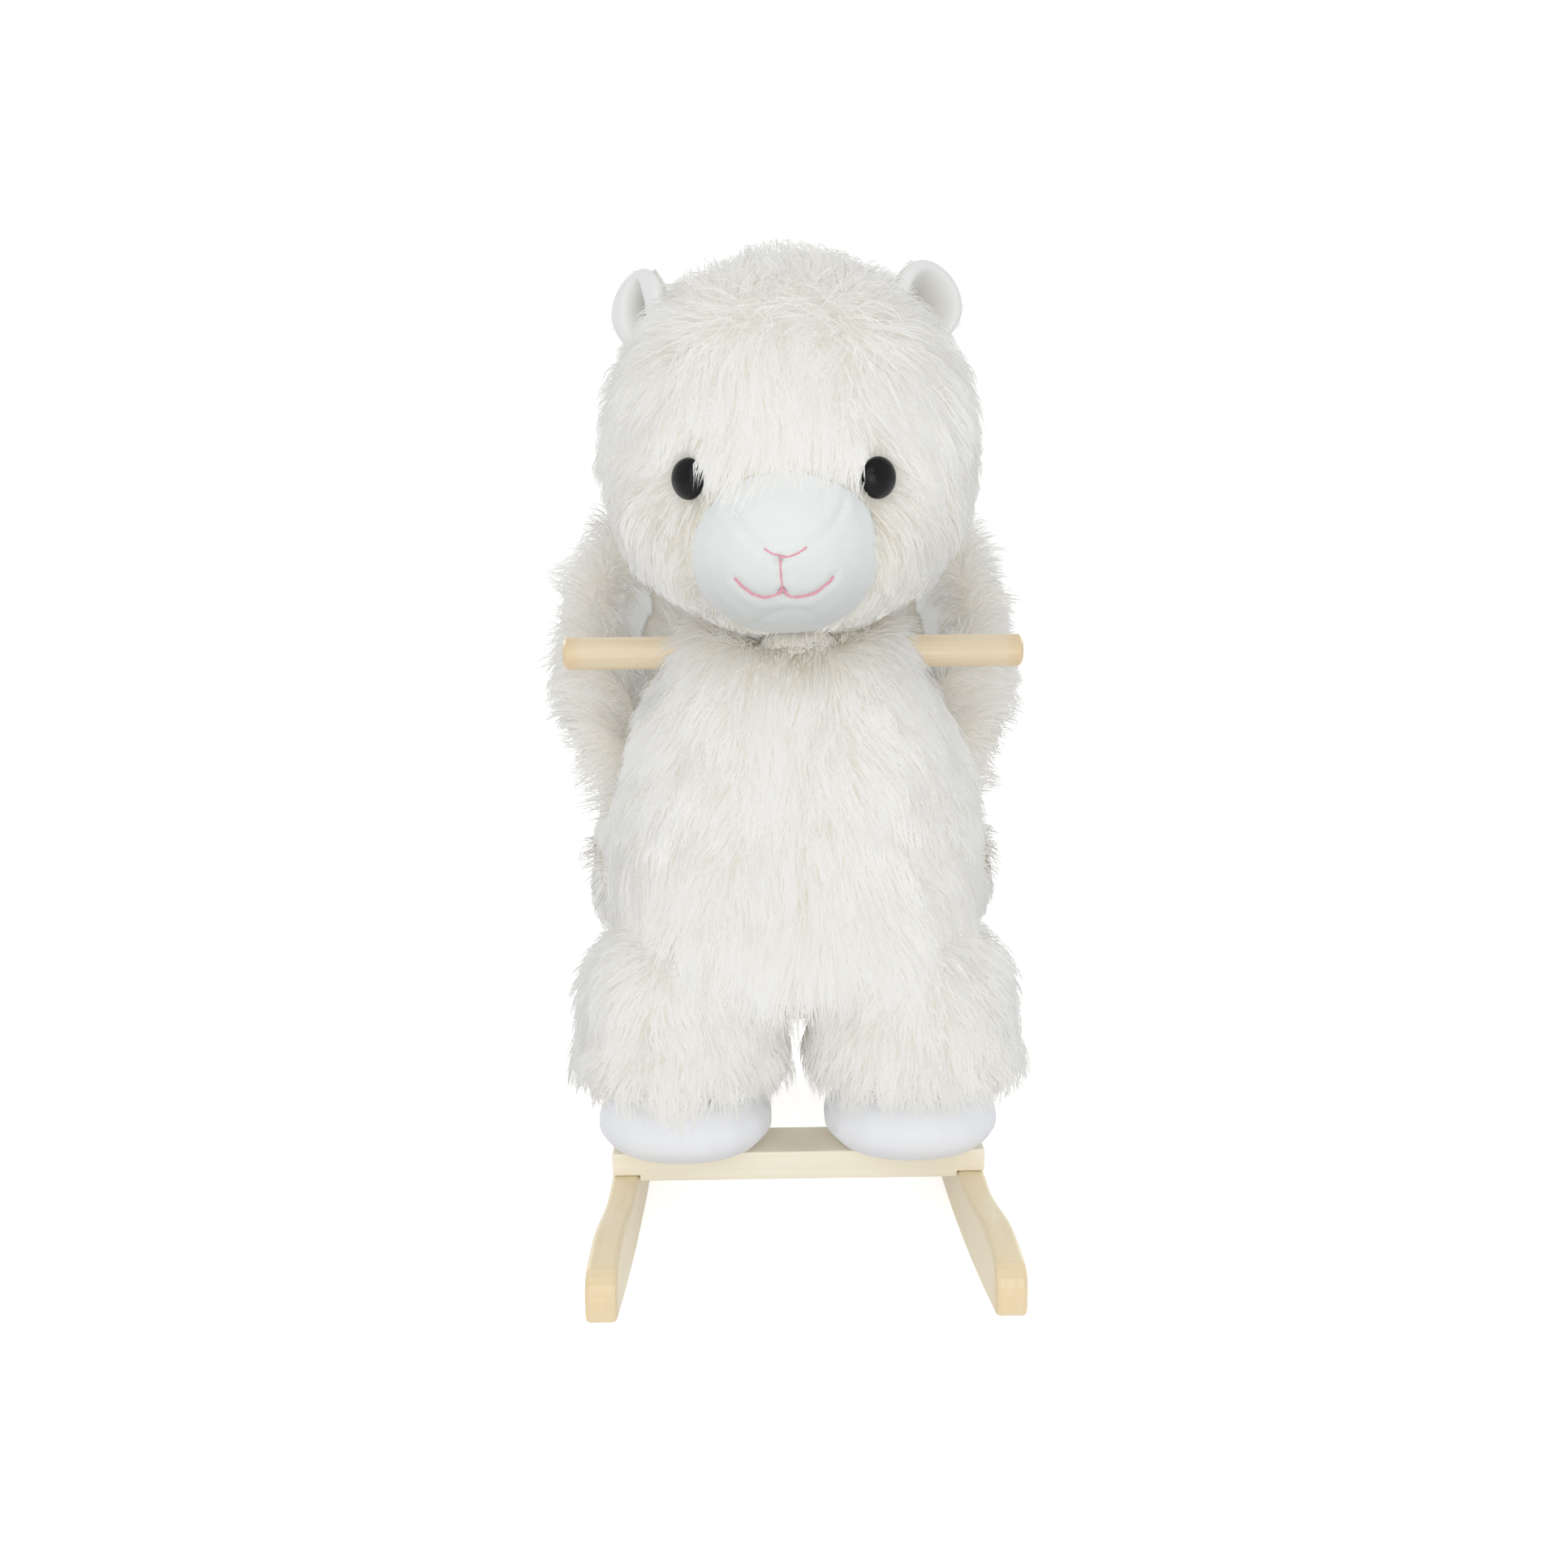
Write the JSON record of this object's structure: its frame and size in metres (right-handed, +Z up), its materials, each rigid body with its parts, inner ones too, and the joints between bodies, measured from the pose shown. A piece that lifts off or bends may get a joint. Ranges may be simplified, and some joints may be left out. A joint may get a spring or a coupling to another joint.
{
  "type": "rocking alpaca toy",
  "caption": "Stuffed alpaca to sit on, with a padded bucket seat on its back and a handle through its neck, on two curved pine rockers.",
  "frame": {"origin": "on the floor under the middle of the base, where the curved runners rest", "axes": "+Z up, -Y the way the face looks, +X to the right as seen from the front"},
  "size_m": [0.3394, 0.642, 0.6399],
  "materials": {
    "fur": "ivory long-pile plush",
    "velour": "white short-pile velour",
    "pine": "sanded pine, clear matt lacquer",
    "spruce": "planed, unfinished",
    "plywood": "birch plywood, unfinished",
    "steel": "zinc-plated",
    "black_plastic": "polished",
    "white_plastic": "moulded"
  },
  "bodies": {
    "root": {"body": "fur", "chest_and_neck": "fur", "front_crossbar": "pine", "front_left_foot": "velour", "front_left_leg": "fur", "front_left_leg_bolt": "steel", "front_left_leg_post": "spruce", "front_left_post_screw": "steel", "front_left_runner_bolt": "steel", "front_right_foot": "velour", "front_right_leg": "fur", "front_right_leg_bolt": "steel", "front_right_leg_post": "spruce", "front_right_post_screw": "steel", "front_right_runner_bolt": "steel", "glue_block_screw_left": "steel", "glue_block_screw_right": "steel", "handle_dowel": "pine", "handle_screw": "steel", "head": "fur", "left_ear": "velour", "left_eye": "black_plastic", "left_eye_washer": "white_plastic", "left_runner": "pine", "muzzle": "velour", "neck_board": "plywood", "neck_glue_block_left": "spruce", "neck_glue_block_right": "spruce", "rear_crossbar": "pine", "rear_left_foot": "velour", "rear_left_leg": "fur", "rear_left_leg_bolt": "steel", "rear_left_leg_post": "spruce", "rear_left_post_screw": "steel", "rear_left_runner_bolt": "steel", "rear_right_foot": "velour", "rear_right_leg": "fur", "rear_right_leg_bolt": "steel", "rear_right_leg_post": "spruce", "rear_right_post_screw": "steel", "rear_right_runner_bolt": "steel", "right_ear": "velour", "right_eye": "black_plastic", "right_eye_washer": "white_plastic", "right_runner": "pine", "seat_back_board": "plywood", "seat_back_padding": "fur", "seat_back_screw_left": "steel", "seat_back_screw_right": "steel", "seat_board": "plywood", "seat_cushion": "velour"}
  },
  "joints": []
}
